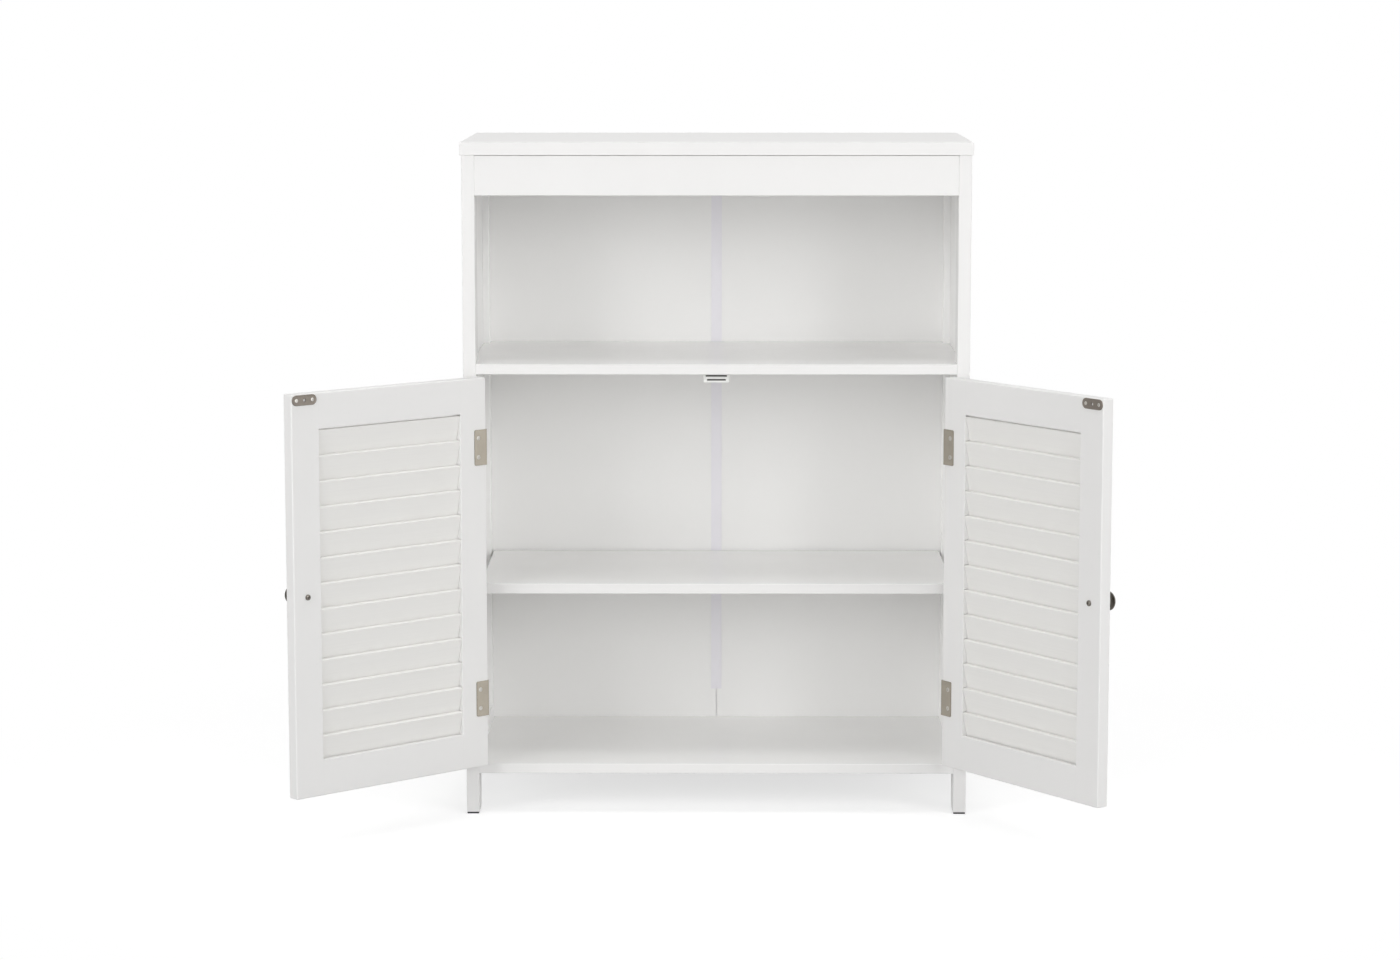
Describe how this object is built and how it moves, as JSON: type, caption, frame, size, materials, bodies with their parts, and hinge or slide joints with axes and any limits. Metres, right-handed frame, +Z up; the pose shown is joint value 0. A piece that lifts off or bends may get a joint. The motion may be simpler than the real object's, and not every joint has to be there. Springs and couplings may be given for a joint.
{
  "type": "louvred door cabinet",
  "caption": "White free-standing cabinet with an open upper compartment, an adjustable shelf below and a pair of louvred doors.",
  "frame": {"origin": "on the floor, under the middle of the top panel", "axes": "+X to the right as seen from the front, +Y from the front to the back, +Z up"},
  "size_m": [0.9392, 0.5395, 0.8],
  "materials": {
    "white_paint": "satin white paint over board",
    "slat_paint": "satin white paint over solid slats",
    "back_board": "painted hardboard",
    "dowel_beech": "bare turned beech",
    "strip_plastic": "extruded plastic",
    "glide_plastic": "black plastic",
    "catch_plastic": "moulded white plastic",
    "magnet_ferrite": "sintered ferrite",
    "hinge_steel": "plated steel, slightly warm",
    "fastener_steel": "zinc-plated steel",
    "cam_zinc": "die-cast zinc",
    "knob_metal": "dark plated metal"
  },
  "bodies": {
    "carcass": {"top_panel": "white_paint", "front_apron": "white_paint", "rear_rail": "white_paint", "middle_shelf": "white_paint", "bottom_panel": "white_paint", "front_post_left": "white_paint", "front_post_right": "white_paint", "back_post_left": "white_paint", "back_post_right": "white_paint", "side_panel_left": "white_paint", "side_panel_right": "white_paint", "side_top_rail_left": "white_paint", "side_top_rail_right": "white_paint", "side_bottom_rail_left": "white_paint", "side_bottom_rail_right": "white_paint", "back_panel_left": "back_board", "back_panel_right": "back_board", "back_joint_strip": "strip_plastic", "leg_glides": "glide_plastic", "carcass_dowels": "dowel_beech", "cam_locks": "cam_zinc", "cam_bolts": "fastener_steel", "back_nails": "fastener_steel", "shelf_pins": "fastener_steel", "catch_housing": "catch_plastic", "catch_magnet": "magnet_ferrite", "catch_pole_plates": "fastener_steel", "catch_screws": "fastener_steel", "hinge_frame_leaves": "hinge_steel", "hinge_frame_screws": "fastener_steel", "hinge_pins": "hinge_steel"},
    "left_door": {"hinge_stile_left": "white_paint", "knob_stile_left": "white_paint", "door_top_rail_left": "white_paint", "door_bottom_rail_left": "white_paint", "door_dowels_left": "dowel_beech", "louvre_slats_left": "slat_paint", "knob_left": "knob_metal", "knob_screw_left": "fastener_steel", "strike_plate_left": "hinge_steel", "strike_screws_left": "fastener_steel", "hinge_door_leaves_left": "hinge_steel", "hinge_door_screws_left": "fastener_steel"},
    "right_door": {"hinge_stile_right": "white_paint", "knob_stile_right": "white_paint", "door_top_rail_right": "white_paint", "door_bottom_rail_right": "white_paint", "door_dowels_right": "dowel_beech", "louvre_slats_right": "slat_paint", "knob_right": "knob_metal", "knob_screw_right": "fastener_steel", "strike_plate_right": "hinge_steel", "strike_screws_right": "fastener_steel", "hinge_door_leaves_right": "hinge_steel", "hinge_door_screws_right": "fastener_steel"},
    "shelf": {"adjustable_shelf": "white_paint"}
  },
  "joints": [
    {"name": "left_door_hinge", "type": "hinge", "parent": "carcass", "child": "left_door", "pos_m": [-0.2815, -0.151, 0.29475], "axis": [0, 0, -1], "range_deg": [-137.6, 42.4]},
    {"name": "right_door_hinge", "type": "hinge", "parent": "carcass", "child": "right_door", "pos_m": [0.2815, -0.151, 0.29475], "axis": [0, 0, 1], "range_deg": [-125.4, 54.6]},
    {"name": "shelf_height", "type": "slide", "parent": "carcass", "child": "shelf", "axis": [0, 0, 1], "range_m": [0, 0.06]}
  ]
}
